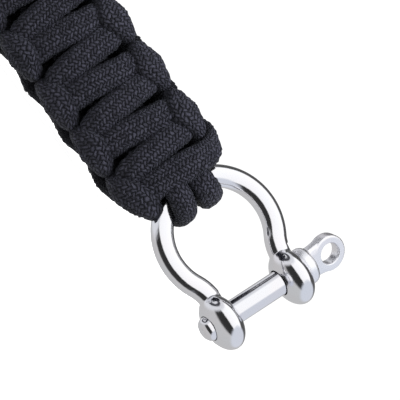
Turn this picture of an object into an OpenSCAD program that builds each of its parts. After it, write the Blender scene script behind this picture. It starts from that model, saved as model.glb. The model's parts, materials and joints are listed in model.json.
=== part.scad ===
// Paracord bracelet woven in cobra stitch, closed by a small bow shackle.
// It stands on its long edge as an open loop: the straight front run faces -Y,
// the shackle points to +X and the wrist hollow is open along Z.

/* [Cord] */
// Width of the cord where it is pulled flat
cord_w = 5.2; // [4:0.1:5.6]
// Thickness of the cord where it is pulled flat
cord_t = 3.4; // [2.6:0.1:4.2]

/* [Woven band] */
// Length of the woven stretch along its middle
weave_len = 204; // [185:1:240]
// Width of the band over its edge loops
band_w = 22.2; // [19:0.2:26]
// Thickness of the band over its front and back bars
band_t = 10.4; // [9:0.2:13]
// Length of band that one half knot takes
knot_pitch = 5.1; // [4:0.1:7]
// Distance from the end of the band's edges to the first bar
knot_start = 4.1; // [2:0.1:5]
// Depth of the dips between neighbouring edge loops
edge_dip = 0.8; // [0.2:0.1:1.2]
// Depth of the grooves between neighbouring bars
bar_dip = 0.8; // [0.2:0.1:1.2]
// How far the edge loops swing in turn to the front and to the back
edge_sway = 0.9; // [0:0.1:1.5]
// Lean of the standing band, lower edge outward, in degrees
lean = 9; // [0:1:14]

/* [Course of the loop] */
// Straight run at the shackle end
front_run = 48; // [35:1:55]
// Straight run at the free end
back_run = 24; // [15:1:40]
// How far the band turns between its two ends, in degrees
turn = 220; // [200:1:226]

/* [Cord loops] */
// Room inside the free end's loops, front to back
end_hole = 5.4; // [5:0.1:7]
// Straight stretch of the free end's loops
end_reach = 4; // [3:0.1:8]
// Width of the cords where they go over the bow's crown
crown_w = 4.4; // [3.6:0.1:5]

/* [Shackle] */
// Diameter of the bow's wire
wire_d = 4.1; // [3:0.1:5]
// Radius of the bow along the middle of its wire
bow_r = 10.45; // [9.5:0.05:13]
// Radius of the reverse bend where the bow turns into the legs
neck_r = 8; // [6:0.5:10]
// Straight length of each leg, from the reverse bend to the pin's axis
leg_len = 3.36; // [2.5:0.02:4.4]
// Distance of each leg from the shackle's middle
leg_x = 7.85; // [7:0.05:9]
// Radius of the round ears
ear_r = 5.3; // [4.8:0.1:6.2]
// Thickness of the ears' rims
ear_t = 3.1; // [2.4:0.1:3.8]
// How far each dome of an ear stands out from the rim's flat side
ear_dome = 0.65; // [0.4:0.05:0.9]
// Radius of the round flat on top of each dome
ear_top_r = 2.8; // [2.6:0.1:3]
// Radius of the sphere that each dome is part of
ear_dome_r = 7.6; // [7:0.1:9]
// Radius of the flat face milled for the collar
ear_flat_r = 4.6; // [4:0.1:4.8]
// How far the shackle is swung about its long axis, in degrees
swing = 23; // [0:1:30]
// How far the shackle is turned in the plane of the band, in degrees
cant = 4.5; // [-6:0.5:6]
// How far the shackle sits above the middle of the band
shackle_up = 0.9; // [0:0.1:2]
// How far the shackle sits behind the middle of the band
shackle_back = 1.2; // [0:0.1:2.5]
// How far the bow's outer edge stands inside the end of the band's edges
crown_bite = 3.5; // [2.5:0.1:4]

/* [Pin] */
// Diameter of the pin's shank
pin_d = 4.5; // [3.4:0.1:5]
// How far the threaded end stands out of its ear's dome
tip_out = 2.35; // [1.2:0.05:2.6]
// Bevel round the end of the shank
tip_bevel = 0.55; // [0.2:0.05:0.7]
// Radius of the pin's collar
collar_r = 3.5; // [3:0.1:4.2]
// Thickness of the pin's collar
collar_t = 2.2; // [1.4:0.1:3]
// Bevel round the collar's edges
collar_bevel = 0.45; // [0.1:0.05:0.6]
// Outer radius of the pin's eye
eye_r = 3.35; // [2.9:0.05:4]
// Radius of the hole through the eye
eye_hole_r = 1.85; // [1:0.05:2.1]
// Thickness of the eye's plate
eye_t = 2.4; // [1.6:0.1:3]
// Distance from the collar to the middle of the eye
eye_out = 3.9; // [3.7:0.1:6]
// Half the width of the eye's neck at the collar
eye_neck = 2.2; // [1.6:0.1:2.5]
// How far below the middle of the eye its neck starts
eye_shoulder = 0.8; // [0.6:0.1:1.2]
// How far the eye is turned about the pin, in degrees
eye_turn = 30; // [0:5:90]

/* [Fits] */
// Gap between the cords and the steel
cord_gap = 0.35; // [0.2:0.05:0.4]
// Gap all round the shank in the plain ear
slide_gap = 0.2; // [0.1:0.05:0.3]
// Gap all round the shank in the threaded ear
thread_gap = 0.06; // [0.04:0.01:0.1]
// Gap between the collar and its ear
collar_gap = 0.08; // [0.05:0.01:0.3]
// Gap between the end of the weave and the cords that come out of it
seam_gap = 0.25; // [0.1:0.05:0.3]

/* [Hidden] */
$fn = 64;
cord_colour = [0.10, 0.10, 0.12];
steel_colour = [0.78, 0.79, 0.81];
wire_r = wire_d / 2;
pin_r = pin_d / 2;

// Angle past its widest point at which the bow meets the reverse bends, how far from the
// bow's centre these run into the legs, and how far the pin's axis is
neck_angle = acos((leg_x + neck_r) / (bow_r + neck_r));
neck_at = (bow_r + neck_r) * sin(neck_angle);
pin_drop = neck_at + leg_len;

// Rings and sides of the band's mesh, and the exponent that squares off its oval section
rings_per_knot = 4;
band_sides = 20;
squareness = 0.72;
knots = round(weave_len / knot_pitch);
pitch = weave_len / knots;
rings = knots * rings_per_knot;
step = weave_len / rings;

// The band narrows to this share of its width over a short stretch at each end,
// and over a longer one its shackle end closes round the bow
end_share = 0.74;
taper_len = 1.2 * pitch;
close_len = 1.6 * pitch;

// Distance of the bow's centre from the end of the band's edges
bow_out = bow_r + wire_r - crown_bite;

// Course of the band: the angle it has turned at a length t from its shackle end
bend_len = weave_len - front_run - back_run;
function turned(t) =
    t <= front_run ? 0 :
    t >= weave_len - back_run ? turn :
    turn * (1 - cos(180 * (t - front_run) / bend_len)) / 2;
function along(h) = [-cos(h), sin(h), 0];
function outward(h) = [-sin(h), -cos(h), 0];
course = [for (i = 0, p = [0, 0, 0]; i <= rings;
               p = p + step * along(turned((i + 0.5) * step)), i = i + 1) p];

// Axes of the leaning section: from the middle to its outer face, and to its upper edge
function face_axis(h) = outward(h) * cos(lean) + [0, 0, sin(lean)];
function edge_axis(h) = [0, 0, cos(lean)] - outward(h) * sin(lean);

// Relief along a length t: b runs from -1 at the lower edge to 1 at the upper edge
function bar(t) = (1 + cos(360 * (t - knot_start) / pitch)) / 2;
function end_width(e) = e >= 1 ? 1 : end_share + (1 - end_share) * sqrt(max(0, e));
function half_width(t) =
    (band_w / 2 - edge_dip * bar(t)) * end_width(min(t, weave_len - t) / taper_len);
function half_thick(t, b) = band_t / 2 - bar_dip * (1 - bar(t)) * (1 - pow(b, 4));
function sway(t, b) =
    edge_sway * sign(b) * b * b * cos(180 * ((t - knot_start) / pitch - 1.5));
function squared(x) = sign(x) * pow(abs(x), squareness);

// Outer edge of the bow at a height z over the band's middle, seen from the front
arch_r = bow_r + wire_r + cord_gap;
function arch(z) =
    let (q = min(0.98, abs(z - shackle_up) / cos(swing) / arch_r))
    min(0, bow_out - arch_r * sqrt(1 - q * q));

// Point j of ring i on the band
function band_point(i, j) =
    let (t = i * step, h = turned(t), w = 360 * (j + 0.5) / band_sides,
         b = squared(sin(w)), z = b * half_width(t),
         a = squared(cos(w)) * half_thick(t, b) + sway(t, b),
         shift = arch(z) * max(0, 1 - t / close_len))
    course[i] + a * face_axis(h) + z * edge_axis(h) - shift * along(h);
band_points = [for (i = [0:rings]) for (j = [0:band_sides - 1]) band_point(i, j)];

// Half the thickness of an ear at its domes
ear_top = ear_t / 2 + ear_dome;

// Lower end of the pin, and how low its rim reaches
tip_end = -(leg_x + ear_top + tip_out);
tip_low = shackle_up + canted(swung([pin_drop, 0, tip_end]))[2]
    - (pin_r - tip_bevel) * sqrt(1 - pow(cos(swing) * cos(cant), 2));

// The part stands with its lowest point on z = 0, and is centred over the origin
lowest = min(tip_low, min([for (p = band_points) p[2]]));
far_end = min([for (p = band_points) p[0]]);
front_side = min(min([for (p = band_points) p[1]]),
                 shackle_back - leg_x * sin(swing) - (ear_r - ear_t / 2) * cos(swing) - ear_t / 2);
back_side = max([for (p = band_points) p[1]]);
near_end = bow_out + pin_drop * cos(cant) + leg_x * sin(cant) + ear_r;
home = [-(far_end + near_end) / 2, -(front_side + back_side) / 2, -lowest];
bow_at = [bow_out, shackle_back, shackle_up];

// Faces of a mesh swept through n + 1 rings of m points, its ends laced from edge to edge
function side_faces(n, m) = [
    for (i = [0:n - 1]) for (j = [0:m - 1])
        let (k = (j + 1) % m, p = i * m, q = (i + 1) * m)
        for (f = [[p + j, q + k, p + k], [p + j, q + j, q + k]]) f];
function end_faces(p, m) = [
    for (k = [0:m / 2 - 2])
        let (r = (m / 4 - 1 - k + m) % m, s = (m / 4 - 2 - k + m) % m, l = m / 4 + k)
        for (f = [[p + s, p + r, p + l], [p + s, p + l, p + l + 1]]) f];
function flipped(faces) = [for (f = faces) [f[0], f[2], f[1]]];
module swept(points, n, m)
    polyhedron(points, concat(side_faces(n, m), end_faces(0, m), flipped(end_faces(n * m, m))));

// A cord bent over a bar: straight in, half way round and straight out again,
// as [reach, front or back] pairs that start and end a length s short of the bar's middle
loop_sides = 12;
loop_steps = 12;
function bent(s, rx, ry) = concat(
    [[-s, ry], [-s / 2, ry]],
    [for (i = [0:loop_steps]) let (w = 180 * i / loop_steps) [rx * sin(w), ry * cos(w)]],
    [[-s / 2, -ry], [-s, -ry]]);
function unit(v) = v / norm(v);
function cord_rings(path, wide, w) = [
    for (i = [0:len(path) - 1])
        let (d = path[min(i + 1, len(path) - 1)] - path[max(i - 1, 0)],
             thin = unit(cross(wide, d)))
        for (j = [0:loop_sides - 1])
            let (v = 360 * (j + 0.5) / loop_sides)
            path[i] + thin * cos(v) * cord_t / 2 + wide * sin(v) * w / 2];
module cord_loop(path, wide, w) swept(cord_rings(path, wide, w), len(path) - 1, loop_sides);

// From the shackle's own axes, with x to its pin and z to its eye, to the band's
function swung(p) = [p[0], p[1] * cos(swing) + p[2] * sin(swing), p[2] * cos(swing) - p[1] * sin(swing)];
function canted(p) = [p[0] * cos(cant) + p[2] * sin(cant), p[1], p[2] * cos(cant) - p[0] * sin(cant)];

module weave()
    color(cord_colour) translate(home) swept(band_points, rings, band_sides);

// A core cord over the crown, on the lower side for s = -1 and on the upper for s = 1.
// The bow curves away under the cord's two sides, which takes a little more room.
crown_angle = (crown_w / 2 + seam_gap) / bow_r * 180 / PI;
crown_rise = crown_w * crown_w / 8 / bow_r;
crown_in = wire_r + cord_gap - seam_gap - crown_rise;
module crown_loop(s) {
    g = s * crown_angle;
    middle = bow_at + canted(swung([-bow_r * cos(g), 0, bow_r * sin(g)]));
    wide = canted(swung([sin(g), 0, cos(g)]));
    room = cord_gap + crown_rise + cord_t / 2;
    path = [for (q = bent(crown_in, wire_r + room, wire_r / cos(swing) + room))
        middle + [q[0], -q[1], 0]];
    color(cord_colour) translate(home) cord_loop(path, wide, crown_w);
}
module crown_loop_lower() crown_loop(-1);
module crown_loop_upper() crown_loop(1);

// A plain loop at the free end, beside its twin
module end_loop(s) {
    r = (end_hole + cord_t) / 2;
    path = [for (q = bent(end_reach, r, r))
        course[rings] + along(turn) * (q[0] + end_reach + seam_gap) + face_axis(turn) * q[1]
        + edge_axis(turn) * s * (cord_w / 2 + seam_gap)];
    color(cord_colour) translate(home) cord_loop(path, edge_axis(turn), cord_w);
}
module end_loop_lower() end_loop(-1);
module end_loop_upper() end_loop(1);

// Places what is drawn on the shackle's own axes, x to its pin and z to its eye
module at_bow()
    translate(home + bow_at) rotate([0, cant, 0]) rotate([-swing, 0, 0]) children();

// Length by which each half of the crown runs into the other
crown_lap = wire_d / 4;

module wire_arc(r, angle) rotate_extrude(angle = angle) translate([r, 0]) circle(d = wire_d);
// A stretch of the bow's upper half, drawn a little long and cut to length. The crown is
// left long by a lap, so that the two halves run into each other.
module half_cut(lap) intersection() {
    rotate([90, 0, 0]) rotate(90 - neck_angle) children();
    translate([neck_at, 0, -lap]) mirror([1, 0, 0]) translate([0, -wire_d, 0])
        cube([2 * bow_r + neck_at, 2 * wire_d, 2 * bow_r]);
}
module half_bow() {
    half_cut(crown_lap) wire_arc(bow_r, 90 + neck_angle + 20);
    half_cut(0) translate([bow_r + neck_r, 0]) rotate(180) wire_arc(neck_r, neck_angle + 10);
}
module leg()
    translate([neck_at, 0, leg_x]) rotate([0, 90, 0]) cylinder(d = wire_d, h = pin_drop - neck_at);
// One side of an ear's dome, up to its flat top
module dome() intersection() {
    translate([0, ear_top - sqrt(pow(ear_dome_r, 2) - pow(ear_top_r, 2))]) circle(r = ear_dome_r);
    square([ear_r - ear_t / 2, ear_top]);
}
module ear()
    translate([pin_drop, 0, leg_x]) rotate_extrude() {
        translate([0, -ear_t / 2]) square([ear_r - ear_t / 2, ear_t]);
        translate([ear_r - ear_t / 2, 0]) circle(d = ear_t);
        dome();
        mirror([0, 1]) dome();
    }
// Room cleared beside an ear, between two heights over the shackle's middle
module ear_clearing(from, to, r)
    translate([pin_drop, 0, from]) cylinder(r = r, h = to - from);
module side(s) mirror([0, 0, s < 0 ? 1 : 0]) {
    difference() {
        union() {
            half_bow();
            leg();
        }
        ear_clearing(leg_x + ear_t / 2, leg_x + wire_d, ear_flat_r);
        ear_clearing(leg_x - wire_d, leg_x - ear_t / 2, ear_flat_r);
    }
    ear();
}
module shackle()
    color(steel_colour) at_bow() difference() {
        union() {
            side(-1);
            side(1);
        }
        ear_clearing(leg_x + ear_t / 2, leg_x + wire_d, ear_flat_r);
        translate([pin_drop, 0, -leg_x - ear_t]) cylinder(r = pin_r + thread_gap, h = 2 * ear_t);
        translate([pin_drop, 0, leg_x - ear_t]) cylinder(r = pin_r + slide_gap, h = 2 * ear_t);
    }

collar_at = leg_x + ear_t / 2 + collar_gap;
eye_at = collar_at + collar_t + eye_out;
// The neck's upper corners sit a little inside the eye's rim
eye_blend = eye_r / 40;
shoulder_x = sqrt(pow(eye_r - eye_blend, 2) - eye_shoulder * eye_shoulder);
// A round bar with a bevel at its lower end, and at its upper end where wanted
module bevelled(r, h, lower, upper) {
    cylinder(r1 = r - lower, r2 = r, h = lower);
    translate([0, 0, lower]) cylinder(r = r, h = h - lower - upper);
    if (upper > 0) translate([0, 0, h - upper]) cylinder(r1 = r, r2 = r - upper, h = upper);
}
module eye_plate()
    rotate(eye_turn) rotate([90, 0, 0]) translate([0, 0, -eye_t / 2]) linear_extrude(eye_t)
        difference() {
            union() {
                circle(r = eye_r);
                polygon([[-eye_neck, -eye_out - collar_bevel], [eye_neck, -eye_out - collar_bevel],
                         [shoulder_x, -eye_shoulder], [-shoulder_x, -eye_shoulder]]);
            }
            circle(r = eye_hole_r);
        }
module pin()
    color(steel_colour) at_bow() translate([pin_drop, 0, 0]) {
        translate([0, 0, tip_end]) bevelled(pin_r, collar_at - tip_end, tip_bevel, 0);
        translate([0, 0, collar_at]) bevelled(collar_r, collar_t, collar_bevel, collar_bevel);
        translate([0, 0, eye_at]) eye_plate();
    }

weave();
crown_loop_lower();
crown_loop_upper();
end_loop_lower();
end_loop_upper();
shackle();
pin();
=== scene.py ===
# %% [markdown]
# # A paracord bracelet with a bow shackle
#
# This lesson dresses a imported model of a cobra-woven bracelet. The frame gives where everything
# is: the band's box, the axis that the pin slides along and the middle of its eye. Here every cord
# is made again as a real rope that goes over and under its neighbours, and the steel gets its
# forged, plated look.
#
# All lengths are written in millimetres and turned into metres when a mesh is made.

# %% Tools and frame
import json
import math

import bmesh
import bpy
import numpy as np
from mathutils import Matrix, Vector


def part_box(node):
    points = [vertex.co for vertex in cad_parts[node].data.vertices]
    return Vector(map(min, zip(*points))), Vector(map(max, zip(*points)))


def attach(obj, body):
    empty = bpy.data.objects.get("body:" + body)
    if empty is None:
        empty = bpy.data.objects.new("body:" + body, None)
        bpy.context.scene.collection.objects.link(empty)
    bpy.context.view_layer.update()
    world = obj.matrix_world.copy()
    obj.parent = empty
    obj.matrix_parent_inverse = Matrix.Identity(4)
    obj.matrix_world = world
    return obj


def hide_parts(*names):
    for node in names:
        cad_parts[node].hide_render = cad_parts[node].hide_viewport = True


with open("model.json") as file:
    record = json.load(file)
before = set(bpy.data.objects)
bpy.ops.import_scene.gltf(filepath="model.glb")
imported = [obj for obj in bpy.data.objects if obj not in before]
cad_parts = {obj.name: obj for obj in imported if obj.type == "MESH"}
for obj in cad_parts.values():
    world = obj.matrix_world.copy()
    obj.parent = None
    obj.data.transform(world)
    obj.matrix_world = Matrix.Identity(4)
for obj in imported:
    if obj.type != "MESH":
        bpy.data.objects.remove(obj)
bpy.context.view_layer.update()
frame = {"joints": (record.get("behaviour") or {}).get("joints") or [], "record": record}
MM = 0.001
rng = np.random.default_rng(7)


def in_mm(vector):
    """A length or place of the frame, which is in metres, in mm."""
    return np.array(vector, float) / MM


# %% [markdown]
# ## The course of the band
#
# On the real thing the band is a flat woven strap, and the wearer bends it into a loop. The same
# idea helps here: the weave is laid out straight, in three coordinates that are easy to think in.
# They are t, the length along the band from its shackle end, b, the distance across it towards its
# upper edge, and a, the distance out of its outer face. One function then bends all of it round
# the loop. The course is the one that the solid band follows: straight, round by 220 degrees in a
# smooth bend, and straight again.

# %% Course of the band
WEAVE_LEN = 204
KNOT_PITCH = 5.1
KNOT_START = 4.1
FRONT_RUN = 48
BACK_RUN = 24
TURN = math.radians(220)
LEAN = math.radians(9)
COURSE_STEP = 0.25
COURSE_BEFORE = 20
COURSE_AFTER = 30


def turned(t):
    """Angle that the band has turned at a length t."""
    share = np.clip((t - FRONT_RUN) / (WEAVE_LEN - FRONT_RUN - BACK_RUN), 0, 1)
    return TURN * (1 - np.cos(np.pi * share)) / 2


def along(h):
    """The way along the band where it has turned by h."""
    return np.stack([-np.cos(h), np.sin(h), 0 * h], -1)


def outward(h):
    """The way out of the band's outer face, before it leans."""
    return np.stack([-np.sin(h), -np.cos(h), 0 * h], -1)


course_t = np.arange(-COURSE_BEFORE, WEAVE_LEN + COURSE_AFTER, COURSE_STEP)
steps = COURSE_STEP * along(turned(course_t + COURSE_STEP / 2))
course = np.vstack([np.zeros(3), np.cumsum(steps[:-1], 0)])
course -= course[np.argmin(abs(course_t))]

woven = (course_t >= 0) & (course_t <= WEAVE_LEN)
band_low, band_high = (in_mm(corner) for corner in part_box("weave"))
home = np.array([
    band_high[0],
    (band_low[1] + band_high[1]) / 2 - (course[woven, 1].min() + course[woven, 1].max()) / 2,
    (band_low[2] + band_high[2]) / 2,
])
UP = np.array([0, 0, 1.0])


def bent(points):
    """Band coordinates (t, b, a) in mm, as places in the frame in mm."""
    t, b, a = np.asarray(points, float).T
    h = turned(t)
    out = outward(h)
    middle = np.stack([np.interp(t, course_t, course[:, i]) for i in range(3)], -1)
    face = out * math.cos(LEAN) + UP * math.sin(LEAN)
    edge = UP * math.cos(LEAN) - out * math.sin(LEAN)
    return home + middle + a[:, None] * face + b[:, None] * edge


print("shackle end of the band, mm:", bent([[0, 0, 0]])[0].round(2))

# %% [markdown]
# ## Rope as a swept tube
#
# A cord is a line with a flattened round section. It could be a Blender curve with a bevel, but
# its section has to lie flat on whatever it crosses, and the braid on it needs a map that runs
# along and around it. So the tube is swept here: a smooth line through a few chosen points, a
# section at each step with its wide side across the way the cord faces, and a UV map that
# holds the length along the cord in braid cells, and the way round it from 0 to 1.

# %% Smooth lines
RING_STEP = 0.45
SAMPLES_PER_POINT = 24


def smooth_line(points, values, step=RING_STEP):
    """A curve through the points with even steps, and each point's values carried along it."""
    p = np.asarray(points, float)
    knots = np.r_[0, np.cumsum(np.linalg.norm(np.diff(p, axis=0), axis=1) ** 0.5)]
    data = np.hstack([p, np.asarray(values, float)])
    slope = np.zeros_like(data)
    gap = np.diff(knots)[:, None]
    rise = np.diff(data, axis=0) / gap
    slope[1:-1] = (rise[:-1] * gap[1:] + rise[1:] * gap[:-1]) / (gap[1:] + gap[:-1])
    slope[0] = rise[0]
    slope[-1] = rise[-1]
    u = np.linspace(0, knots[-1], len(p) * SAMPLES_PER_POINT)
    k = np.clip(np.searchsorted(knots, u, side="right") - 1, 0, len(p) - 2)
    g = gap[k]
    w = ((u - knots[k])[:, None]) / g
    fine = (
        data[k] * (1 + 2 * w) * (1 - w) ** 2 + slope[k] * g * w * (1 - w) ** 2
        + data[k + 1] * w**2 * (3 - 2 * w) + slope[k + 1] * g * w**2 * (w - 1)
    )
    length = np.r_[0, np.cumsum(np.linalg.norm(np.diff(fine[:, :3], axis=0), axis=1))]
    even = np.linspace(0, length[-1], int(length[-1] / step) + 2)
    fine = np.stack([np.interp(even, length, fine[:, i]) for i in range(fine.shape[1])], -1)
    return fine[:, :3], fine[:, 3:]


def unit(v):
    """Vectors of length 1 that point the same way."""
    return v / np.maximum(np.linalg.norm(v, axis=-1, keepdims=True), 1e-9)


def softened(v, times):
    """A row of vectors, each evened out with its neighbours."""
    for _ in range(times):
        v = np.vstack([v[:1], (v[:-2] + 2 * v[1:-1] + v[2:]) / 4, v[-1:]])
    return v


# %% [markdown]
# The faces of the tube join each ring to the next, and a fan closes each end. Its skin can be made
# a little rough, since a real sheath is. The map's cells are as wide as a strand of the braid, and
# as many of them go round the cord as it has strands.

# %% Swept cords
CORD_SIDES = 24
CORD_ROUND = 13.2
BRAID_STRANDS = 20


def linked(name, data):
    """An object that shows the data, in the scene."""
    shown = bpy.data.objects.new(name, data)
    bpy.context.scene.collection.objects.link(shown)
    return shown


def new_mesh(name, verts_mm, faces, uvs=None):
    """A smooth shaded object from corners in mm, with a map in the layer "Sheath"."""
    mesh = bpy.data.meshes.new(name)
    mesh.from_pydata((np.asarray(verts_mm) * MM).tolist(), [], faces)
    if uvs is not None:
        layer = mesh.uv_layers.new(name="Sheath")
        layer.data.foreach_set("uv", np.asarray(uvs, np.float32).ravel())
    mesh.validate()
    mesh.shade_smooth()
    return linked(name, mesh)


def swept_cord(name, line, normals, half_wide, half_thick, fullness=2.3, rough=0.0):
    """A cord along line, flattened so that its thin way is along normals, with a rough skin."""
    tangent = unit(np.gradient(line, axis=0))
    thin = unit(normals - tangent * (normals * tangent).sum(1, keepdims=True))
    wide = np.cross(tangent, thin)
    angle = 2 * np.pi * np.arange(CORD_SIDES) / CORD_SIDES
    c = np.cos(angle)
    s = np.sin(angle)
    swell = (abs(c) ** fullness + abs(s) ** fullness) ** (-1 / fullness)
    grain = 1 + rough * rng.normal(0, 1, (len(line), CORD_SIDES))
    rings = (
        line[:, None]
        + thin[:, None] * (half_thick[:, None] * (c * swell) * grain)[..., None]
        + wide[:, None] * (half_wide[:, None] * (s * swell) * grain)[..., None]
    )
    n = len(line)
    m = CORD_SIDES
    verts = np.vstack([rings.reshape(-1, 3), line[:1], line[-1:]])
    length = np.r_[0, np.cumsum(np.linalg.norm(np.diff(line, axis=0), axis=1))]
    along_cells = length * BRAID_STRANDS / CORD_ROUND
    faces = []
    uvs = []
    for i in range(n - 1):
        for j in range(m):
            k = (j + 1) % m
            faces.append((i * m + j, i * m + k, (i + 1) * m + k, (i + 1) * m + j))
            low = j / m
            high = (j + 1) / m
            uvs += [(along_cells[i], low), (along_cells[i], high),
                    (along_cells[i + 1], high), (along_cells[i + 1], low)]
    for j in range(m):
        k = (j + 1) % m
        faces.append((n * m, k, j))
        uvs += [(0, 0.5), (0.2, k / m), (0.2, j / m)]
        faces.append((n * m + 1, (n - 1) * m + j, (n - 1) * m + k))
        uvs += [(0, 0.5), (0.2, j / m), (0.2, k / m)]
    return new_mesh(name, verts, faces, uvs)

# %% [markdown]
# ## The shackle's own axes
#
# The steel hangs a little askew in the band, so it is easier to make in its own axes: v runs from
# the bow to the pin, w across the shackle and u along the pin towards its eye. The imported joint
# gives u, because the pin slides along it, and the pin's eye is a mount of the record, so both are
# read from the frame. The bow's line in these axes also tells the cords where to lie.

# %% Axes of the shackle
PIN_EYE_OUT = 15.58
BOW_R = 10.45
NECK_R = 8
WIRE_R = 2.05
LEG_X = 7.85
PIN_DROP = 12.8035
NECK_ANGLE = math.acos((LEG_X + NECK_R) / (BOW_R + NECK_R))
NECK_AT = (BOW_R + NECK_R) * math.sin(NECK_ANGLE)
BOW_POINTS = 60
NECK_POINTS = 24

pin_joint = next(j for j in frame["joints"] if j["name"] == "pin_slide")
eye_mount = next(m for m in frame["record"]["mounts"] if m["name"] == "pin_eye")
axis_u = unit(np.array(pin_joint["axis"], float))
axis_v = unit(np.array([axis_u[2], 0, -axis_u[0]]))
axis_w = np.cross(axis_u, axis_v)
pin_mid = in_mm(eye_mount["pos_m"]) - PIN_EYE_OUT * axis_u
bow_mid = pin_mid - PIN_DROP * axis_v


def on_steel(points):
    """Points in the shackle's axes (v, w, u) from the bow's centre, as places in the frame."""
    return bow_mid + np.asarray(points, float) @ np.stack([axis_v, axis_w, axis_u])


half = np.linspace(0, math.pi / 2 + NECK_ANGLE, BOW_POINTS)
half_bow = np.stack([-BOW_R * np.cos(half), 0 * half, BOW_R * np.sin(half)], -1)
turn_back = np.linspace(NECK_ANGLE, 0, NECK_POINTS)[1:]
half_neck = np.stack([
    NECK_AT - NECK_R * np.sin(turn_back), 0 * turn_back,
    LEG_X + NECK_R - NECK_R * np.cos(turn_back),
], -1)
half_leg = [[PIN_DROP, 0, LEG_X]]
half_wire = np.vstack([half_bow, half_neck, half_leg])
wire_line = np.vstack([(half_wire * [1, 1, -1])[::-1], half_wire[1:]])
print("bow centre and pin middle, mm:", bow_mid.round(2), pin_mid.round(2))

# %% [markdown]
# ## The cobra weave
#
# Cobra stitch is a row of half knots over two core cords. In each half knot one working cord
# crosses the front and the other crosses the back, and at both edges they hook round each other.
# The cord that made the front bar drops to the back of the edge and runs to the next half knot
# there, and the other one comes up and runs along the front of the edge: that is the fat bump
# which covers the ends of two bars. A cloth or rope simulation could tighten such a knot, but it
# would be slow and would never land on the pattern that is wanted. A table of one half knot,
# repeated and mirrored, gives it exactly.

# %% One half knot
KNOTS = round(WEAVE_LEN / KNOT_PITCH)
# Columns: t from the bar's middle, b towards the side where the cord ends, a towards the face
# that the bar lies on, half the cord's width and half its thickness
BAR = [
    (0.75, -6.2, 2.25, 2.55, 1.90),
    (0.45, -3.4, 3.35, 2.66, 1.90),
    (0.00, 0.0, 3.65, 2.66, 1.90),
    (-0.45, 3.4, 3.35, 2.66, 1.90),
    (-0.75, 6.2, 2.25, 2.55, 1.90),
]
HOOK_OUT = [
    (-1.45, 7.4, 0.25, 1.65, 1.85),
    (-0.80, 8.4, -1.70, 1.85, 1.85),
]
EDGE_RUN = [
    (1.00, 8.3, -2.75, 2.60, 1.85),
    (KNOT_PITCH / 2, 8.2, -3.00, 2.85, 1.85),
    (KNOT_PITCH - 1.00, 8.3, -2.75, 2.60, 1.85),
]
HOOK_IN = [
    (KNOT_PITCH + 0.80, 8.4, -1.70, 1.85, 1.85),
    (KNOT_PITCH + 1.45, 7.4, 0.25, 1.65, 1.85),
]
LOWER_EDGE_SHIFT = 1.5
EDGE_FROM = 5.5
EDGE_TO = 8.2
SLANT = 0.04
SLANT_REACH = 7
# No two knots are pulled quite alike: how far bars and edges stray along, and bars outward
BAR_STRAY = 0.10
BAR_STRAY_OUT = 0.06
EDGE_STRAY = 0.12


def placed(row, k, side, face):
    """A row of the table as band coordinates, for half knot k."""
    t, b, a, half_wide, half_thick = row
    return (KNOT_START + k * KNOT_PITCH + t, side * b, face * a, half_wide, half_thick)


def half_knots(first_side, face, first, last):
    """The rows of one working cord, from bar first to bar last, with the runs between them."""
    rows = []
    for k in range(first, last + 1):
        side = first_side * (-1) ** k
        stray = rng.normal(0, 1, (3,))
        for row in BAR:
            t, b, a, w, h = placed(row, k, side, face)
            rows.append((t + BAR_STRAY * stray[0], b, a + BAR_STRAY_OUT * stray[1] * face, w, h))
        if k < last:
            for row in HOOK_OUT + EDGE_RUN + HOOK_IN:
                t, b, a, w, h = placed(row, k, side, face)
                rows.append((t + EDGE_STRAY * stray[2], b, a, w, h))
    return rows


def sheared(rows):
    """Rows with the lower edge nearer the shackle than the upper one, and the bars slanting."""
    rows = np.array(rows, float)
    share = np.clip((-rows[:, 1] - EDGE_FROM) / (EDGE_TO - EDGE_FROM), 0, 1)
    rows[:, 0] -= LOWER_EDGE_SHIFT * share + SLANT * np.clip(rows[:, 1], -SLANT_REACH, SLANT_REACH)
    return rows


# %% [markdown]
# ## From the core over the bow and back
#
# Each core cord comes out under the first bar, goes over the bow's crown, round its inner side
# and back behind it. From there it is a working cord: the lower one swings round to make every
# front bar, the upper one passes behind the core and makes the bumps on the front edges. So each
# half of the bracelet's cord is one long rope here, as it is in the hand.

# %% Core and the way round the wire
CORE_END = WEAVE_LEN - 6
# Columns: t, b, a, half the cord's width and half its thickness
CORE = [(t, 2.1, 0.0, 2.1, 1.85) for t in (CORE_END, 150, 100, 50, 20)] + [
    (10.0, 2.1, 0.1, 2.1, 1.80),
]
CROWN_ROUND = 3.85
CROWN_POINTS = 40
CROWN_THICK = 1.6
# A cord moves sideways evenly over this many degrees of its way round the wire
DRIFT_FROM = -20
DRIFT_OVER = 220
upper_crown_wire = on_steel(half_bow[:CROWN_POINTS])
lower_crown_wire = on_steel(half_bow[:CROWN_POINTS] * [1, 1, -1])
crown_wire = np.vstack([lower_crown_wire[::-1], upper_crown_wire[1:]]) - home
lean_face = -np.array([0, math.cos(LEAN), -math.sin(LEAN)])
lean_edge = np.array([0, math.sin(LEAN), math.cos(LEAN)])
crown_b = crown_wire @ lean_edge


def wire_at(b):
    """Where the crown's wire lies along the band and out of it, at a distance b across."""
    t = np.interp(b, crown_b, -crown_wire[:, 0])
    return t, np.interp(b, crown_b, crown_wire @ lean_face)


def over_bow(b_front, b_back, half_wide, angles):
    """Rows that lie round the wire, from its front over its inner side to its back."""
    rows = []
    for degrees in angles:
        b = b_front + (b_back - b_front) * (degrees - DRIFT_FROM) / DRIFT_OVER
        w = math.radians(degrees)
        t, a = wire_at(b)
        t = t - CROWN_ROUND * math.sin(w)
        a = a + CROWN_ROUND * math.cos(w)
        rows.append((t, b, a, half_wide, CROWN_THICK))
    return rows


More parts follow.
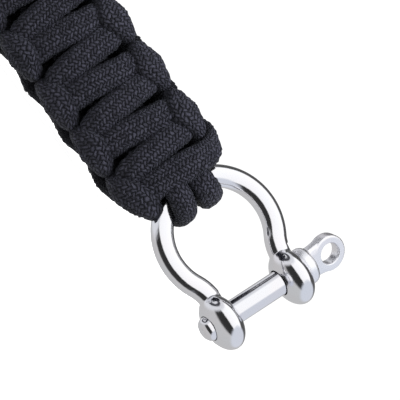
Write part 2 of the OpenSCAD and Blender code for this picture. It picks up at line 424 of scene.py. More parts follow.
# %% [markdown]
# The lower cord comes back at the lower edge and crosses the front as the first bar. The upper
# one passes behind the core to the lower edge and makes the first bump there. These rows were
# found by comparing renders with the photograph.

# %% Rows near the shackle
ROUND_WIRE = (0, 30, 60, 90, 120, 150, 180)
LOWER_CROWN = [
    (6.0, -1.8, 0.6, 2.1, 1.70),
    (3.6, -1.2, 1.9, 2.1, 1.60),
] + over_bow(-0.8, -3.1, 2.2, ROUND_WIRE) + [
    (2.6, -4.2, -4.3, 2.1, 1.70),
    (3.4, -5.6, -4.0, 2.1, 1.75),
    (4.3, -6.8, -3.2, 2.1, 1.80),
    (5.4, -7.4, -1.9, 2.0, 1.85),
    (6.0, -7.4, -0.4, 1.8, 1.85),
    (5.6, -6.9, 1.2, 1.8, 1.85),
]
UPPER_CROWN = [
    (6.0, 2.6, 0.3, 2.1, 1.75),
    (3.4, 3.1, 1.0, 2.2, 1.60),
] + over_bow(3.4, 4.2, 2.45, ROUND_WIRE) + [
    (2.6, 3.2, -5.0, 2.2, 1.65),
    (3.6, 0.8, -4.8, 2.2, 1.65),
    (3.4, -2.2, -3.9, 2.2, 1.70),
    (2.6, -4.4, -2.6, 2.0, 1.75),
    (1.9, -5.6, -1.0, 1.9, 1.85),
    (1.7, -6.2, 0.8, 2.1, 1.85),
    (2.3, -6.5, 2.4, 2.4, 1.80),
    (4.0, -6.9, 3.2, 2.7, 1.80),
    (6.2, -7.6, 3.2, 2.8, 1.80),
    (8.0, -8.3, 2.7, 2.5, 1.85),
    (9.4, -8.5, 1.6, 1.9, 1.85),
    (10.6, -7.4, -0.2, 1.65, 1.85),
]
FIRST_BAR = [
    (4.8, -5.8, 2.5, 2.45, 1.80),
    (4.4, -3.2, 3.60, 2.75, 1.75),
    (4.1, 0.2, 3.9, 2.80, 1.72),
    (3.9, 3.8, 3.6, 2.75, 1.75),
    (3.8, 6.4, 2.7, 2.55, 1.80),
    (4.1, 8.3, 1.3, 2.4, 1.80),
    (5.2, 9.3, -0.2, 2.3, 1.80),
    (7.0, 9.6, -1.6, 2.3, 1.85),
    (8.7, 9.1, -2.2, 2.1, 1.85),
    (10.0, 8.4, -1.5, 1.9, 1.85),
    (10.65, 7.4, 0.4, 1.7, 1.85),
]


# %% [markdown]
# After the last knot each rope turns in behind the weave, as the real ends are tucked or melted.

# %% The two ropes from end to end


def mirrored(rows, side):
    """The rows with b on the other side, for side = -1."""
    return [(t, side * b, a, w, h) for t, b, a, w, h in rows]


def tucked(side, face):
    """The last end, turned in behind the opposite face and hidden under it."""
    t = KNOT_START + (KNOTS - 1) * KNOT_PITCH
    return [
        (t - 0.6, side * 7.4, 0.3 * face, 1.65, 1.85),
        (t - 0.9, side * 6.2, -1.6 * face, 1.7, 1.7),
        (t - 1.6, side * 3.6, -2.2 * face, 1.7, 1.5),
    ]


last_side = (-1) ** (KNOTS - 1)
rope_rows = {
    "rope_of_front_bars": mirrored(CORE, -1) + LOWER_CROWN + FIRST_BAR
    + half_knots(1, 1, 1, KNOTS - 1) + tucked(last_side, 1),
    "rope_of_front_bumps": CORE + UPPER_CROWN
    + half_knots(-1, -1, 1, KNOTS - 1) + tucked(-last_side, -1),
}

# %% [markdown]
# The side that a cord shows is set by what it lies on. Over the core its flat side faces out of
# the band, and round an edge it faces sideways, so the outward way at each point is taken from an
# oval round the core. Over the bow it faces away from the wire instead.

# %% Sweeping the two ropes
OVAL_ACROSS = 10.5
OVAL_OUT = 3.9
FACING_STEP = 0.05
ROPE_FULLNESS = 2.1
SKIN = 0.035
# Nearer the shackle than CROWN_T a cord faces away from the wire, if it lies within CROWN_B
CROWN_T = 2.2
CROWN_BLEND = 1.5
CROWN_B = 5.5
ROPE_FACING_ROUNDS = 6


def cord_normals(line):
    """Outward directions in band coordinates for points (t, b, a)."""
    t, b, a = line.T
    round_core = np.stack([0 * t, b * (1 / OVAL_ACROSS**2), a * (1 / OVAL_OUT**2)], -1)
    wire_t, wire_a = wire_at(b)
    round_wire = np.stack([t - wire_t, 0 * t, a - wire_a], -1)
    share = np.clip((CROWN_T - t) / CROWN_BLEND, 0, 1)[:, None] * (abs(b) < CROWN_B)[:, None]
    return softened(unit(unit(round_core) * (1 - share) + unit(round_wire) * share), ROPE_FACING_ROUNDS)


def bent_cord(name, rows):
    """A cord given in band coordinates, bent round the loop with its facing."""
    rows = np.asarray(rows, float)
    line, sizes = smooth_line(rows[:, :3], rows[:, 3:])
    normals = cord_normals(line)
    world = bent(line)
    facing = unit(bent(line + normals * FACING_STEP) - world)
    piece = swept_cord(name, world, facing, sizes[:, 0], sizes[:, 1], ROPE_FULLNESS, SKIN)
    length = np.linalg.norm(np.diff(world, axis=0), axis=1).sum()
    print(name, "length in mm:", round(float(length)))
    return piece


ropes = {name: bent_cord(name, sheared(rows)) for name, rows in rope_rows.items()}

# %% [markdown]
# ## The loops at the free end
#
# The photograph shows nothing of this end. Its two cords are bent back into plain loops, which
# the pin could be put through, and their ends disappear into the weave.

# %% Free end loops
LOOP_HALF = 4.4
LOOP_B = 2.85
LOOP_REACH = WEAVE_LEN + 4.25
LOOP_FACING_ROUNDS = 4
round_end = [
    (LOOP_REACH + LOOP_HALF * math.sin(w), 0, LOOP_HALF * math.cos(w), 2.5, 1.7)
    for w in np.linspace(0, math.pi, 9)
]
one_loop = [
    (WEAVE_LEN - 6, 0, 1.0, 2.2, 1.7),
    (WEAVE_LEN - 2, 0, 3.2, 2.3, 1.7),
] + round_end + [
    (WEAVE_LEN - 2, 0, -3.2, 2.3, 1.7),
    (WEAVE_LEN - 6, 0, -1.0, 2.2, 1.7),
]


def end_loop(name, side):
    """One loop, on the lower side for side = -1 and on the upper side for side = 1."""
    rows = np.array(one_loop)
    rows[:, 1] = side * LOOP_B
    line, sizes = smooth_line(rows[:, :3], rows[:, 3:])
    hole = np.array([WEAVE_LEN, side * LOOP_B, 0])
    normals = line - hole
    normals[:, 0] = np.maximum(line[:, 0] - LOOP_REACH, 0)
    normals = softened(unit(normals), LOOP_FACING_ROUNDS)
    world = bent(line)
    facing = unit(bent(line + normals * FACING_STEP) - world)
    return swept_cord(name, world, facing, sizes[:, 0], sizes[:, 1], rough=SKIN)


loops = {side: end_loop("loop_" + side, sign) for side, sign in (("lower", -1), ("upper", 1))}

# %% [markdown]
# ## The shackle
#
# A small bow shackle is forged from one bar: the ends are upset into round ears, and the bar runs
# into them with soft fillets. Joining primitives exactly would leave hard creases there. So the
# wire and the ears are drawn as plain shapes, melted into one skin with a fine voxel remesh and
# then smoothed, which gives the forged fillets. The machined parts come after it, as they do in
# the factory: the collar's seat is faced, and the holes are drilled through the ears.

# %% Turned shapes
TURN_SIDES = 96


def turned_piece(name, profile, middle, axis):
    """A lathe piece from (radius, height) pairs, closed where the radius is 0."""
    axis = unit(np.asarray(axis, float))
    across = unit(np.cross(axis, [0.31, 0.17, 0.93]))
    other = np.cross(axis, across)
    sides = TURN_SIDES
    angle = 2 * np.pi * np.arange(sides) / sides
    spokes = np.cos(angle)[:, None] * across + np.sin(angle)[:, None] * other
    verts = np.vstack([np.asarray(middle) + axis * h + spokes * r for r, h in profile])
    faces = []
    for i in range(len(profile) - 1):
        for j in range(sides):
            k = (j + 1) % sides
            faces.append((i * sides + j, i * sides + k, (i + 1) * sides + k, (i + 1) * sides + j))
    faces.append(tuple(range(sides))[::-1])
    faces.append(tuple(range((len(profile) - 1) * sides, len(profile) * sides)))
    piece = new_mesh(name, verts, faces)
    work = bmesh.new()
    work.from_mesh(piece.data)
    bmesh.ops.remove_doubles(work, verts=work.verts, dist=1e-7)
    bmesh.ops.recalc_face_normals(work, faces=work.faces)
    work.to_mesh(piece.data)
    work.free()
    return piece


# %% [markdown]
# Melting, smoothing and cutting are modifiers. They are made real at once, so that a finished
# piece has none left, and the edges of a cut are marked sharp.

# %% Joining, melting and cutting
CUT_SHARP = math.radians(32)


def joined(name, pieces):
    """One mesh of all the pieces, which are used up."""
    work = bmesh.new()
    for piece in pieces:
        work.from_mesh(piece.data)
        bpy.data.objects.remove(piece)
    mesh = bpy.data.meshes.new(name)
    work.to_mesh(mesh)
    work.free()
    mesh.shade_smooth()
    return linked(name, mesh)


def settled(piece):
    """The piece with its modifiers made real."""
    graph = bpy.context.evaluated_depsgraph_get()
    mesh = bpy.data.meshes.new_from_object(piece.evaluated_get(graph))
    piece.modifiers.clear()
    piece.data = mesh
    return piece


def forged(piece, grain, rounds):
    """One skin over all of the piece's parts, with softened corners."""
    melt = piece.modifiers.new("melt", "REMESH")
    melt.mode = "VOXEL"
    melt.voxel_size = grain * MM
    melt.use_smooth_shade = True
    soften = piece.modifiers.new("soften", "SMOOTH")
    soften.factor = 0.5
    soften.iterations = rounds
    return settled(piece)


def cut_by(piece, cutters):
    """The piece without what the cutters cover. The cutters are used up."""
    for cutter in cutters:
        cut = piece.modifiers.new("cut", "BOOLEAN")
        cut.operation = "DIFFERENCE"
        cut.solver = "EXACT"
        cut.object = cutter
    settled(piece)
    for cutter in cutters:
        bpy.data.objects.remove(cutter)
    piece.data.set_sharp_from_angle(angle=CUT_SHARP)
    return piece


# %% [markdown]
# The ears are flattened balls, set a little beyond the pin's axis and a little towards its tip, as
# the photograph shows them. The legs are cut flat before they are joined to the ears, so that
# they don't bulge there. The collar's seat and the two holes are cut last.

# %% Bow, legs and ears
EAR_R = 5.3
EAR_T = 3.1
FLAT_R = 4.6
MILL_DEPTH = 3
SEAT_CUT = 0.04
DRILL_REACH = 4
THREAD_ROOM = 0.12
SLIDE_ROOM = 0.2
GRAIN = 0.17
EAR_ROUNDS = 8
WIRE_STEP = 0.3
PIN_R = 2.25
EAR_TOP = 3.0
EAR_BEYOND = 0.35
EAR_ASIDE = -0.5
ear_arc = np.linspace(0.1, 1.5708, 30)
ear_side = [(EAR_R * math.sin(c), EAR_TOP * math.cos(c)) for c in ear_arc]
ear_profile = [(0, -EAR_TOP)] + [(r, -h) for r, h in ear_side] + ear_side[-2::-1] + [(0, EAR_TOP)]
few_points = wire_line[::3]
even_wire, _ = smooth_line(few_points, np.zeros((len(few_points), 1)), step=WIRE_STEP)
wire_world = on_steel(even_wire)
flat_way = np.tile(axis_w, (len(wire_world), 1))
same = np.full(len(wire_world), WIRE_R)
wire = swept_cord("wire", wire_world, flat_way, same, same, fullness=2.0)


def discs(name, places):
    """Discs on the pin's axis, from (lower height, upper height, radius) rows."""
    return [
        turned_piece(name, [(0, low), (r, low), (r, high), (0, high)], pin_mid, axis_u)
        for low, high, r in places
    ]


inner = LEG_X - EAR_T / 2
outer = LEG_X + EAR_T / 2
wire = cut_by(wire, discs("flat", [
    (-outer - MILL_DEPTH, -outer, FLAT_R),
    (-inner, -inner + MILL_DEPTH, FLAT_R),
    (inner - MILL_DEPTH, inner, FLAT_R),
    (outer, outer + MILL_DEPTH, FLAT_R),
]))
ears = [
    turned_piece("ear", ear_profile, on_steel([[PIN_DROP + EAR_BEYOND, 0, z + EAR_ASIDE]])[0],
                 axis_u)
    for z in (-LEG_X, LEG_X)
]
shackle = forged(joined("bow_shackle", [wire] + ears), GRAIN, EAR_ROUNDS)
seat = discs("flat", [(outer - SEAT_CUT, outer + MILL_DEPTH, EAR_R)])
shackle = cut_by(shackle, seat + discs("drill", [
    (-LEG_X - DRILL_REACH, -LEG_X + DRILL_REACH, PIN_R + THREAD_ROOM),
    (LEG_X - DRILL_REACH, LEG_X + DRILL_REACH, PIN_R + SLIDE_ROOM),
]))
print("shackle faces:", len(shackle.data.polygons))

# %% [markdown]
# ## The pin
#
# The pin is a turned bar with a collar and a flattened eye. The bar is a clean lathe shape with a
# rounded tip and the small dimple that the lathe's centre leaves. The collar, the neck and the eye
# are forged, so they are melted together like the ears, and then the eye is punched.

# %% Shank, collar and eye
COLLAR_GAP = 0.08
COLLAR_AT = LEG_X + EAR_T / 2 + COLLAR_GAP
COLLAR_R = 3.5
COLLAR_T = 2.2
TIP_AT = -12.4
EYE_R = 3.35
EYE_HOLE_R = 1.85
EYE_T = 2.4
EYE_ROUND = 0.4
CORNER_POINTS = 8
PUNCH_REACH = 1.6
PUNCH_FLARE = 0.22
PUNCH_RINGS = 15
NECK_RINGS = 12
NECK_FROM = 4.6
NECK_LEN = 3.9
NECK_HALF = 2.85
NECK_FLARE = 0.45
NECK_SQUARE = 5
HEAD_GRAIN = 0.13
HEAD_ROUNDS = 5
PIN_SHARP = math.radians(38)
# Columns: radius, and height over the tip. The first four rows are the centre's dimple.
TIP = [
    (0, 0.45), (0.35, 0.25), (0.60, 0.06), (0.80, 0),
    (1.30, 0.08), (1.70, 0.27), (2.02, 0.55), (2.2, 0.9), (PIN_R, 1.2),
]
shank = turned_piece(
    "shank", [(r, TIP_AT + h) for r, h in TIP] + [(PIN_R, COLLAR_AT + 1.0), (0, COLLAR_AT + 1.0)],
    pin_mid, axis_u)
collar = turned_piece("collar", [
    (0, COLLAR_AT), (COLLAR_R - 0.4, COLLAR_AT), (COLLAR_R - 0.1, COLLAR_AT + 0.15),
    (COLLAR_R, COLLAR_AT + 0.5), (COLLAR_R, COLLAR_AT + COLLAR_T - 0.8),
    (COLLAR_R - 0.25, COLLAR_AT + COLLAR_T - 0.3), (COLLAR_R - 0.8, COLLAR_AT + COLLAR_T),
    (0, COLLAR_AT + COLLAR_T),
], pin_mid, axis_u)
corner = np.linspace(0, math.pi / 2, CORNER_POINTS)
eye_way = np.array(eye_mount["axis"], float)
eye_mid = in_mm(eye_mount["pos_m"])
edge = [
    (EYE_R - EYE_ROUND + EYE_ROUND * math.cos(c), EYE_T / 2 - EYE_ROUND + EYE_ROUND * math.sin(c))
    for c in corner
]
disc = turned_piece("disc", [(0, -EYE_T / 2)] + [(r, -h) for r, h in edge[::-1]] + edge
                    + [(0, EYE_T / 2)], eye_mid, eye_way)
neck_steps = np.linspace(0, 1, NECK_RINGS)
neck_line = eye_mid - axis_u * (NECK_FROM - NECK_LEN * neck_steps)[:, None]
neck_way = np.tile(eye_way, (NECK_RINGS, 1))
neck_half = NECK_HALF + NECK_FLARE * neck_steps**2
neck_thick = np.full(NECK_RINGS, EYE_T / 2)
neck = swept_cord("neck", neck_line, neck_way, neck_half, neck_thick, fullness=NECK_SQUARE)
head = forged(joined("head", [collar, disc, neck]), HEAD_GRAIN, HEAD_ROUNDS)
punch_side = [
    (EYE_HOLE_R + PUNCH_FLARE * (abs(h) / (EYE_T / 2)) ** 6, h)
    for h in np.linspace(-PUNCH_REACH, PUNCH_REACH, PUNCH_RINGS)
]
punch = [(0, -PUNCH_REACH)] + punch_side + [(0, PUNCH_REACH)]
head = cut_by(head, [turned_piece("punch", punch, eye_mid, eye_way)])
head.data.polygons.foreach_set("material_index", [1] * len(head.data.polygons))
pin = joined("shackle_pin", [shank, head])
pin.data.set_sharp_from_angle(angle=PIN_SHARP)
print("pin faces:", len(pin.data.polygons))

# %% [markdown]
# ## Braided nylon
#
# The cord's sheath is woven from many small bundles that cross each other, two over and two
# under. Modelling each bundle would take millions of faces, and a picture would repeat and blur.
# The cords already carry a map in braid cells, so a few sums give the pattern at any size: two
# families of slanting strips, each one on top for two crossings. The group puts out the height,
# the bright crown of each float and a value for each float.

# %% Math nodes and node groups


def maths(tree, operation, first, second=None, third=None):
    """A math node whose inputs are sockets or numbers."""
    node = tree.nodes.new("ShaderNodeMath")
    node.operation = operation
    for socket, value in zip(node.inputs, (first, second, third)):
        if value is None:
            continue
        if isinstance(value, (int, float)):
            socket.default_value = value
        else:
            tree.links.new(value, socket)
    return node.outputs[0]


def new_group(name, inputs, outputs):
    """A shader group, with its inner sockets for what it is given and what it puts out."""
    tree = bpy.data.node_groups.new(name, "ShaderNodeTree")
    for label, kind in inputs:
        tree.interface.new_socket(label, in_out="INPUT", socket_type=kind)
    for label, kind in outputs:
        tree.interface.new_socket(label, in_out="OUTPUT", socket_type=kind)
    return tree, tree.nodes.new("NodeGroupInput").outputs, tree.nodes.new("NodeGroupOutput").inputs


# %% [markdown]
# Two counts run across the two families of strips. Their whole parts say at which crossing a
# place lies, and so which strip is on top. Their fractions say where it lies in that strip.

# %% Braid node group
FLOAT = "NodeSocketFloat"
VECTOR = "NodeSocketVector"
braid, given, put = new_group(
    "Braid", [("Map", VECTOR)], [("Height", FLOAT), ("Crown", FLOAT), ("Variation", FLOAT)])
split = braid.nodes.new("ShaderNodeSeparateXYZ")
braid.links.new(given["Map"], split.inputs[0])
round_cells = maths(braid, "MULTIPLY", split.outputs["Y"], BRAID_STRANDS)
rising = maths(braid, "ADD", round_cells, split.outputs["X"])
falling = maths(braid, "SUBTRACT", round_cells, split.outputs["X"])
rising_cell = maths(braid, "FLOOR", rising)
falling_cell = maths(braid, "FLOOR", falling)
sum_cells = maths(braid, "FLOORED_MODULO", maths(braid, "ADD", rising_cell, falling_cell), 4)
first_on_top = maths(braid, "LESS_THAN", sum_cells, 1.5)
along_first = maths(braid, "ADD", rising, falling_cell)
along_second = maths(braid, "ADD", falling, rising_cell)
length_first = maths(braid, "DIVIDE", maths(braid, "FLOORED_MODULO", along_first, 4), 2)
length_second = maths(braid, "SUBTRACT", maths(
    braid, "DIVIDE", maths(braid, "FLOORED_MODULO", along_second, 4), 2), 1)


def chosen(tree, mask, one, other):
    """The one value where the mask is 1, and the other where it is 0."""
    rest = maths(tree, "SUBTRACT", 1, mask)
    return maths(tree, "ADD", maths(tree, "MULTIPLY", mask, one), maths(
        tree, "MULTIPLY", rest, other))


def from_middle(tree, value):
    """Distance of a 0 to 1 value from its middle, as 0 to 1."""
    return maths(tree, "ABSOLUTE", maths(tree, "MULTIPLY_ADD", value, 2, -1))


across_way = chosen(
    braid, first_on_top, maths(braid, "FRACT", falling), maths(braid, "FRACT", rising))
length_way = chosen(braid, first_on_top, length_first, length_second)
side_fall = maths(braid, "POWER", from_middle(braid, across_way), 3)
end_fall = maths(braid, "POWER", from_middle(braid, length_way), 3)
height = maths(braid, "MULTIPLY", maths(braid, "SUBTRACT", 1, side_fall),
               maths(braid, "SUBTRACT", 1, end_fall))
braid.links.new(height, put["Height"])
crown = maths(braid, "SMOOTH_MAX", maths(braid, "MULTIPLY_ADD", height, 2.2, -1.2), 0, 0.1)
braid.links.new(crown, put["Crown"])
float_number = maths(braid, "MULTIPLY", chosen(
    braid, first_on_top, along_first, along_second), 0.25)
cell = braid.nodes.new("ShaderNodeCombineXYZ")
braid.links.new(chosen(braid, first_on_top, falling_cell, rising_cell), cell.inputs[0])
braid.links.new(maths(braid, "FLOOR", float_number), cell.inputs[1])
braid.links.new(first_on_top, cell.inputs[2])
noise = braid.nodes.new("ShaderNodeTexWhiteNoise")
braid.links.new(cell.outputs[0], noise.inputs["Vector"])
braid.links.new(noise.outputs["Value"], put["Variation"])

# %% [markdown]
# ## Materials
#
# Every material starts as one main shader. Two colours can be mixed by a factor.

# %% Material helpers


def new_material(name):
    """A material with its node tree and its main shader."""
    material = bpy.data.materials.new(name)
    material.use_nodes = True
    tree = material.node_tree
    return material, tree, tree.nodes["Principled BSDF"]


def colour_between(tree, factor, low, high):
    """The colour low where the factor is 0, and high where it is 1."""
    mix = tree.nodes.new("ShaderNodeMix")
    mix.data_type = "RGBA"
    tree.links.new(factor, mix.inputs["Factor"])
    mix.inputs["A"].default_value = (*low, 1)
    mix.inputs["B"].default_value = (*high, 1)
    return mix.outputs["Result"]


# %% [markdown]
# The pattern is shifted a little from place to place, since no braid is quite even. The cord is
# black nylon: very dark, rather dull, with a faint cool sheen. Painted shade darkens the hollows
# between the floats, and more painted shade darkens it down its flanks, where the photograph shows
# almost no braid.

# %% Paracord material
BRAID_WANDER = 0.9
# The first black is painted shade for the hollows between the floats; the second is the floats' crowns
HOLLOW_SHADE_BLACK = (0.0016, 0.0016, 0.0024)
FLOAT_BLACK = (0.027, 0.027, 0.038)
SHEEN_TINT = (0.75, 0.80, 0.95, 1)
BRAID_HEIGHT = 0.00030

paracord, tree, shader = new_material("paracord")
sheath_map = tree.nodes.new("ShaderNodeUVMap")
sheath_map.uv_map = "Sheath"
pattern = tree.nodes.new("ShaderNodeGroup")
pattern.node_tree = braid
wander = tree.nodes.new("ShaderNodeTexNoise")
wander.inputs["Scale"].default_value = BRAID_WANDER
wander.inputs["Detail"].default_value = 1
wide_map = tree.nodes.new("ShaderNodeVectorMath")
wide_map.operation = "MULTIPLY"
wide_map.inputs[1].default_value = (1, BRAID_STRANDS, 1)
tree.links.new(sheath_map.outputs["UV"], wide_map.inputs[0])
tree.links.new(wide_map.outputs[0], wander.inputs["Vector"])
shift = tree.nodes.new("ShaderNodeVectorMath")
shift.operation = "MULTIPLY_ADD"
shift.inputs[1].default_value = (BRAID_WANDER, BRAID_WANDER / BRAID_STRANDS, 0)
tree.links.new(wander.outputs["Color"], shift.inputs[0])
tree.links.new(sheath_map.outputs["UV"], shift.inputs[2])
tree.links.new(shift.outputs[0], pattern.inputs["Map"])
bright = maths(tree, "MULTIPLY_ADD", pattern.outputs["Variation"], 0.6, 0.5)
# Painted shade: the lower the braid's height, the darker the colour, so the hollows between floats are
# shaded; each float's own tone also varies at random
shade = maths(tree, "MULTIPLY", maths(tree, "POWER", pattern.outputs["Height"], 1.3), bright)
round_way = tree.nodes.new("ShaderNodeSeparateXYZ")
tree.links.new(sheath_map.outputs["UV"], round_way.inputs[0])
# Painted shade down the flanks: the colour darkens as the cord turns away from its outward face, to
# near black on its inner side
facing_out = maths(tree, "COSINE", maths(tree, "MULTIPLY", round_way.outputs["Y"], 2 * math.pi))
painted_flank_shade = tree.nodes.new("ShaderNodeMapRange")
painted_flank_shade.interpolation_type = "SMOOTHSTEP"
tree.links.new(facing_out, painted_flank_shade.inputs["Value"])
painted_flank_shade.inputs["From Min"].default_value = -0.10
painted_flank_shade.inputs["From Max"].default_value = 0.90
painted_flank_shade.inputs["To Min"].default_value = 0.06
painted_flank_shade.inputs["To Max"].default_value = 1.0
shade = maths(tree, "MULTIPLY", shade, painted_flank_shade.outputs[0])
black = colour_between(tree, shade, HOLLOW_SHADE_BLACK, FLOAT_BLACK)
tree.links.new(black, shader.inputs["Base Color"])
shader.inputs["Roughness"].default_value = 0.55
shader.inputs["Specular IOR Level"].default_value = 0.12
shader.inputs["Sheen Weight"].default_value = 0.04
shader.inputs["Sheen Roughness"].default_value = 0.45
shader.inputs["Sheen Tint"].default_value = SHEEN_TINT
bump = tree.nodes.new("ShaderNodeBump")
bump.inputs["Strength"].default_value = 1.0
bump.inputs["Distance"].default_value = BRAID_HEIGHT
tree.links.new(pattern.outputs["Height"], bump.inputs["Height"])
tree.links.new(bump.outputs["Normal"], shader.inputs["Normal"])

# %% [markdown]
# ## Bright zinc plate
#
# The steel is tumbled and zinc plated: a mirror, but a soft one, with faint waves from the forging
# and a thin bluish or pinkish film. The waves come from a slow noise in the bump and the film from
# a slight tint. The pin's collar and eye are duller than the polished bow.

# %% Steel material
FORGING_WAVES = 240
FINE_GRAIN = 1900
BLUISH = (0.915, 0.955, 1.0)
PINKISH = (0.985, 0.935, 0.955)
WAVE_HEIGHT = 0.00012


def plated(name, roughness, tone):
    """Zinc plate of a roughness, as bright as the tone."""
    material, tree, shader = new_material(name)
    place = tree.nodes.new("ShaderNodeTexCoord")
    slow = tree.nodes.new("ShaderNodeTexNoise")
    slow.inputs["Scale"].default_value = FORGING_WAVES
    slow.inputs["Detail"].default_value = 2
    tree.links.new(place.outputs["Object"], slow.inputs["Vector"])
    fine = tree.nodes.new("ShaderNodeTexNoise")
    fine.inputs["Scale"].default_value = FINE_GRAIN
    fine.inputs["Detail"].default_value = 4
    tree.links.new(place.outputs["Object"], fine.inputs["Vector"])
    bluish = tuple(tone * c for c in BLUISH)
    pinkish = tuple(tone * c for c in PINKISH)
    tint = colour_between(tree, slow.outputs["Fac"], bluish, pinkish)
    tree.links.new(tint, shader.inputs["Base Color"])
    shader.inputs["Metallic"].default_value = 1.0
    rough = maths(tree, "MULTIPLY_ADD", fine.outputs["Fac"], 0.10, roughness - 0.05)
    tree.links.new(rough, shader.inputs["Roughness"])
    waves = maths(tree, "MULTIPLY_ADD", fine.outputs["Fac"], 0.12, slow.outputs["Fac"])
    bump = tree.nodes.new("ShaderNodeBump")
    bump.inputs["Strength"].default_value = 0.25
    bump.inputs["Distance"].default_value = WAVE_HEIGHT
    tree.links.new(waves, bump.inputs["Height"])
    tree.links.new(bump.outputs["Normal"], shader.inputs["Normal"])
    return material


bow_plate = plated("bright_zinc", 0.12, 0.88)
pin_plate = plated("turned_zinc", 0.12, 0.86)
head_plate = plated("dull_zinc", 0.36, 0.98)

# %% [markdown]
# ## Dressing the frame
#
# Each rope stands for the woven band and for one of the two cords over the crown, and each piece
# rides on the body that its CAD node belongs to.

# %% Riding, replacing and slots
front_rope = ropes["rope_of_front_bars"]
bump_rope = ropes["rope_of_front_bumps"]
for piece in (front_rope, bump_rope, *loops.values()):
    piece.data.materials.append(paracord)
    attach(piece, "bracelet")
shackle.data.materials.clear()
shackle.data.materials.append(bow_plate)
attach(shackle, "bracelet")
pin.data.materials.append(pin_plate)
pin.data.materials.append(head_plate)
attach(pin, "pin")
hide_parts("weave", "crown_loop_lower")
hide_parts("weave", "crown_loop_upper")
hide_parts("end_loop_lower")
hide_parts("end_loop_upper")
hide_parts("shackle")
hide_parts("pin")

# %% [markdown]
# ## Camera, floor and light
#
# The photograph looks straight at the front run, turned so that the band runs up to the left, and
# the camera is rolled in the same way. The floor is white like the photograph's ground, and isn't
# seen in the steel.

# %% Camera and floor
PX_PER_MM = 5.8
# The picture's middle, in pixels from the band's shackle end along the frame's x and z
MIDDLE_PX = (13, 10.5)
FLOOR_HALF = 4e4
VIEW_RIGHT = Vector((0.598, 0, 0.802))
VIEW_UP = Vector((-0.802, 0, 0.598))
CAMERA_AWAY = 528
lens = bpy.data.cameras.new("camera")
lens.sensor_width = 36
lens.lens = 261
lens.clip_start = 0.01
lens.clip_end = 50
camera = linked("camera", lens)
camera.matrix_world = Matrix((
    (VIEW_RIGHT[0], VIEW_UP[0], 0, (home[0] + MIDDLE_PX[0] / PX_PER_MM) * MM),
    (0, 0, -1, -CAMERA_AWAY * MM),
    (VIEW_RIGHT[2], VIEW_UP[2], 0, (home[2] + MIDDLE_PX[1] / PX_PER_MM) * MM),
    (0, 0, 0, 1),
))
bpy.context.scene.camera = camera

corners = [
    (-FLOOR_HALF, -FLOOR_HALF, 0), (FLOOR_HALF, -FLOOR_HALF, 0),
    (FLOOR_HALF, FLOOR_HALF, 0), (-FLOOR_HALF, FLOOR_HALF, 0),
]
floor = new_mesh("floor", corners, [(0, 1, 2, 3)])
white, tree, shader = new_material("white_floor")
shader.inputs["Base Color"].default_value = (0.30, 0.30, 0.30, 1)
shader.inputs["Roughness"].default_value = 1.0
shader.inputs["Specular IOR Level"].default_value = 0.0
shader.inputs["Emission Color"].default_value = (1, 1, 1, 1)
shader.inputs["Emission Strength"].default_value = 0.95
floor.data.materials.append(white)
floor.visible_glossy = False

# %% [markdown]
# The steel shows what surrounded it: a broad white tent in front and overhead, a dark gap below
# the tent and another behind it, and grey under the table's height. The world has that pattern
# for reflections only, as a ramp over the angle round the frame's x axis.

# %% World
# Columns: degrees from the camera's side over straight up (90), and the brightness there
STUDIO = [
    (-180, 0.55), (-70, 0.62), (-60, 0.04), (-14, 0.03), (-7, 1.1), (97, 1.25), (106, 0.08),
    (150, 0.10), (180, 0.45),
]

world = bpy.data.worlds.new("studio")
bpy.context.scene.world = world
world.use_nodes = True
tree = world.node_tree
tree.nodes.clear()
place = tree.nodes.new("ShaderNodeTexCoord")
split = tree.nodes.new("ShaderNodeSeparateXYZ")
tree.links.new(place.outputs["Generated"], split.inputs[0])
height_angle = maths(tree, "ARCTAN2", split.outputs["Z"],
                     maths(tree, "MULTIPLY", split.outputs["Y"], -1))
share = maths(tree, "MULTIPLY_ADD", height_angle, 1 / (2 * math.pi), 0.5)
ramp = tree.nodes.new("ShaderNodeValToRGB")
while len(ramp.color_ramp.elements) < len(STUDIO):
    ramp.color_ramp.elements.new(0.5)
for element, (degrees, value) in zip(ramp.color_ramp.elements, STUDIO):
    element.position = degrees / 360 + 0.5
    element.color = (value, value, value, 1)
tree.links.new(share, ramp.inputs[0])


# %% [markdown]
# A grey panel stands on each side of the ramp, and a thin dark one on the left.

# %% Side panels
RIGHT_GREY = (0.72, 0.75, 0.82)
LEFT_GREY = (0.80, 0.81, 0.84)
LEFT_DARK = (0.06, 0.06, 0.07)
# Where the panels lie in the x of a ray's direction: from, to and how soft their sides are
RIGHT_GREY_AT = (0.75, 1.1, 0.2)
LEFT_GREY_AT = (-1.1, -0.75, 0.2)
LEFT_DARK_AT = (-0.95, -0.88, 0.03)


def window(tree, value, low, high, soft):
    """1 where the value lies between low and high, with soft sides."""
    sides = []
    for near, far in ((low - soft, low), (high + soft, high)):
        fade = tree.nodes.new("ShaderNodeMapRange")
        fade.interpolation_type = "SMOOTHSTEP"
        tree.links.new(value, fade.inputs["Value"])
        fade.inputs["From Min"].default_value = near
        fade.inputs["From Max"].default_value = far
        sides.append(fade.outputs[0])
    return maths(tree, "MULTIPLY", *sides)


def over(tree, below, mask, colour):
    """The colour over what is below it, where the mask is 1."""
    mix = tree.nodes.new("ShaderNodeMix")
    mix.data_type = "RGBA"
    tree.links.new(mask, mix.inputs["Factor"])
    tree.links.new(below, mix.inputs["A"])
    mix.inputs["B"].default_value = (*colour, 1)
    return mix.outputs["Result"]


right_grey = window(tree, split.outputs["X"], *RIGHT_GREY_AT)
left_grey = window(tree, split.outputs["X"], *LEFT_GREY_AT)
left_dark = window(tree, split.outputs["X"], *LEFT_DARK_AT)
around = over(tree, ramp.outputs["Color"], right_grey, RIGHT_GREY)
around = over(tree, around, left_grey, LEFT_GREY)
around = over(tree, around, left_dark, LEFT_DARK)

# %% [markdown]
# Only reflections show the studio. The camera sees a plain white backdrop, and the rest of the
# light is plain and weaker.

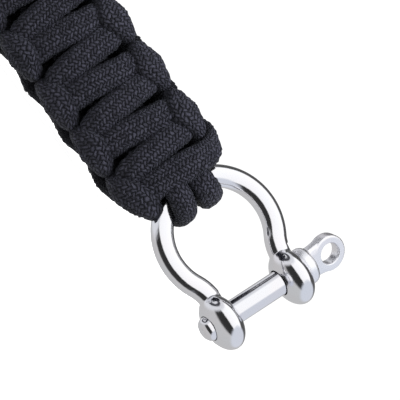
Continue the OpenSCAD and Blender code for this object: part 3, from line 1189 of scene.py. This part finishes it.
# %% Which ray sees what
PLAIN_STRENGTH = 0.40
BACKDROP_STRENGTH = 1.1

studio = tree.nodes.new("ShaderNodeBackground")
tree.links.new(around, studio.inputs["Color"])
plain = tree.nodes.new("ShaderNodeBackground")
plain.inputs["Color"].default_value = (1, 1, 1, 1)
plain.inputs["Strength"].default_value = PLAIN_STRENGTH
backdrop = tree.nodes.new("ShaderNodeBackground")
backdrop.inputs["Color"].default_value = (1, 1, 1, 1)
backdrop.inputs["Strength"].default_value = BACKDROP_STRENGTH
rays = tree.nodes.new("ShaderNodeLightPath")
either = tree.nodes.new("ShaderNodeMixShader")
tree.links.new(rays.outputs["Is Glossy Ray"], either.inputs[0])
tree.links.new(plain.outputs[0], either.inputs[1])
tree.links.new(studio.outputs[0], either.inputs[2])
seen = tree.nodes.new("ShaderNodeMixShader")
tree.links.new(rays.outputs["Is Camera Ray"], seen.inputs[0])
tree.links.new(either.outputs[0], seen.inputs[1])
tree.links.new(backdrop.outputs[0], seen.inputs[2])
out = tree.nodes.new("ShaderNodeOutputWorld")
tree.links.new(seen.outputs[0], out.inputs["Surface"])

# %% [markdown]
# Two soft lights bring out the braid. In the frame the key is high on the right and the weak fill
# low on the left; in the rolled picture they come from the right and from the upper left. The
# steel shows neither, since its reflections are the world's.

# %% Key light
LIT_PLACE = (20, -25, 12)


def softbox(name, place_mm, aim_mm, size_mm, watts):
    """A round soft light at a place, turned to what it lights."""
    data = bpy.data.lights.new(name, "AREA")
    data.shape = "DISK"
    data.size = size_mm * MM
    data.energy = watts
    lamp = linked(name, data)
    lamp.location = Vector(place_mm) * MM
    way = Vector(aim_mm) - Vector(place_mm)
    lamp.rotation_euler = way.to_track_quat("-Z", "Y").to_euler()
    lamp.visible_glossy = False


softbox("key", (190, -170, 330), LIT_PLACE, 180, 3.8)
softbox("fill", (-260, -260, 60), LIT_PLACE, 200, 0.6)

# %% [markdown]
# The ground is to stay plain white, so the view transform is the standard one.

# %% Colour handling and finish
bpy.context.scene.view_settings.view_transform = "Standard"
